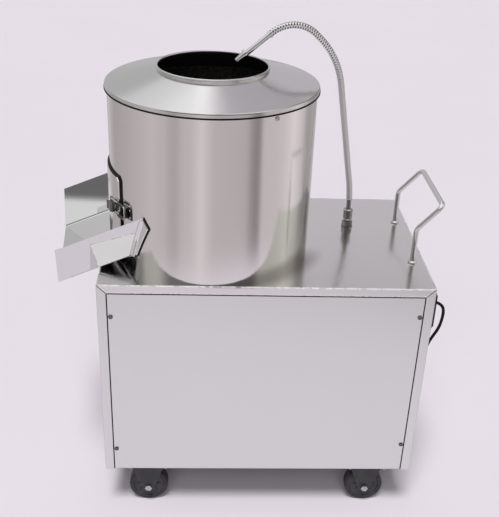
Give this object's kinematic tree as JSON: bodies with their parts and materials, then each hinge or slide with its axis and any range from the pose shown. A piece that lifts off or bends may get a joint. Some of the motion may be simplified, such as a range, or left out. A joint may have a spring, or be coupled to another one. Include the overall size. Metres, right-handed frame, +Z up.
{
  "type": "electric potato peeler",
  "caption": "Drum peeler on a wheeled cabinet: abrasive disc under a conical feed cover, side door with flared chute, gooseneck water hose and push handle.",
  "frame": {"origin": "on the floor under the middle of the machine's bounding box, power cord left out", "axes": "+Z up, -Y the cabinet's front panel, -X the side with the door and chute, +X the side with the push handle, switch box and cord"},
  "size_m": [0.7671, 0.5345, 0.9646],
  "materials": {
    "steel_panel": "brushed stainless sheet",
    "steel_polished": "polished stainless",
    "steel_zinc": "zinc plated",
    "steel_machined": "turned steel",
    "frame_paint": "satin grey paint",
    "motor_paint": "blue-grey enamel",
    "cast_grey": "cast and machined",
    "abrasive": "coarse abrasive grit",
    "rubber_black": "matte black rubber",
    "wheel_tread": "dark grey caster wheel",
    "plastic_black": "moulded black",
    "button_green": "gloss green",
    "button_red": "gloss red"
  },
  "bodies": {
    "cabinet": {"base_frame": "frame_paint", "top_plate": "steel_panel", "left_side": "steel_panel", "right_side": "steel_panel", "front_panel": "steel_panel", "back_panel": "steel_panel", "panel_screws": "steel_zinc", "fork_fl": "steel_zinc", "fork_fr": "steel_zinc", "fork_bl": "steel_zinc", "fork_br": "steel_zinc", "axle_bolts": "steel_zinc", "drum_shell": "steel_panel", "drum_liner": "abrasive", "drum_floor": "steel_machined", "hopper_cover": "steel_polished", "cover_screws": "steel_zinc", "bearing_housing": "cast_grey", "bearings": "steel_machined", "motor_body": "motor_paint", "motor_fan_cover": "motor_paint", "motor_plate": "frame_paint", "drive_belt": "rubber_black", "chute": "steel_panel", "chute_pad": "rubber_black", "hinge_fixed_leaf": "steel_machined", "hinge_pin": "steel_machined", "latch_hook": "steel_polished", "drain_pipe": "steel_machined", "inlet_pipe": "steel_zinc", "hose_nut": "steel_polished", "gooseneck": "steel_polished", "spray_tube": "steel_polished", "push_handle": "steel_polished", "handle_flanges": "steel_polished", "switch_box": "plastic_black", "cord_gland": "plastic_black", "power_cord": "rubber_black", "cord_coil": "rubber_black", "plug": "plastic_black"},
    "disc_rotor": {"peeling_disc": "abrasive", "disc_cap": "steel_polished", "main_shaft": "steel_machined", "driven_pulley": "cast_grey"},
    "motor_rotor": {"motor_shaft": "steel_machined", "motor_pulley": "cast_grey"},
    "door": {"door": "steel_panel", "door_seal": "rubber_black", "hinge_door_leaf": "steel_machined", "latch_base": "steel_polished"},
    "lever": {"latch_lever": "steel_polished"},
    "bail": {"latch_bail": "steel_polished"},
    "wheel_front_left": {"wheel_fl": "wheel_tread"},
    "wheel_front_right": {"wheel_fr": "wheel_tread"},
    "wheel_back_left": {"wheel_bl": "wheel_tread"},
    "wheel_back_right": {"wheel_br": "wheel_tread"},
    "start_button": {"start_button": "button_green"},
    "stop_button": {"stop_button": "button_red"}
  },
  "joints": [
    {"name": "disc_spin", "type": "hinge", "parent": "cabinet", "child": "disc_rotor", "pos_m": [-0.06787, -0.02595, 0.57], "axis": [0, 0, 1], "continuous": true},
    {"name": "motor_spin", "type": "hinge", "parent": "cabinet", "child": "motor_rotor", "pos_m": [0.21613, -0.02595, 0.2], "axis": [0, 0, 1], "continuous": true},
    {"name": "door_swing", "type": "hinge", "parent": "cabinet", "child": "door", "pos_m": [-0.25451, 0.05467, 0.6], "axis": [0, 0, -1], "range_deg": [0, 85]},
    {"name": "lever_swing", "type": "hinge", "parent": "door", "child": "lever", "pos_m": [-0.24994, -0.12381, 0.646], "axis": [0, 0, 1], "range_deg": [0, 150]},
    {"name": "bail_swing", "type": "hinge", "parent": "lever", "child": "bail", "pos_m": [-0.25263, -0.11179, 0.646], "axis": [0, 0, 1], "range_deg": [-165, 0]},
    {"name": "wheel_front_left_roll", "type": "hinge", "parent": "cabinet", "child": "wheel_front_left", "pos_m": [-0.18987, -0.18595, 0.04], "axis": [0, 1, 0], "continuous": true},
    {"name": "wheel_front_right_roll", "type": "hinge", "parent": "cabinet", "child": "wheel_front_right", "pos_m": [0.26613, -0.18595, 0.04], "axis": [0, 1, 0], "continuous": true},
    {"name": "wheel_back_left_roll", "type": "hinge", "parent": "cabinet", "child": "wheel_back_left", "pos_m": [-0.18987, 0.14805, 0.04], "axis": [0, 1, 0], "continuous": true},
    {"name": "wheel_back_right_roll", "type": "hinge", "parent": "cabinet", "child": "wheel_back_right", "pos_m": [0.26613, 0.14805, 0.04], "axis": [0, 1, 0], "continuous": true},
    {"name": "start_press", "type": "slide", "parent": "cabinet", "child": "start_button", "axis": [-1, 0, 0], "range_m": [0, 0.003], "stiffness_N_per_m": 400},
    {"name": "stop_press", "type": "slide", "parent": "cabinet", "child": "stop_button", "axis": [-1, 0, 0], "range_m": [0, 0.003], "stiffness_N_per_m": 400}
  ],
  "couplings": [
    {"joint": "motor_spin", "follows": "disc_spin", "ratio": 3.388},
    {"joint": "bail_swing", "follows": "lever_swing", "ratio": -1.1}
  ]
}
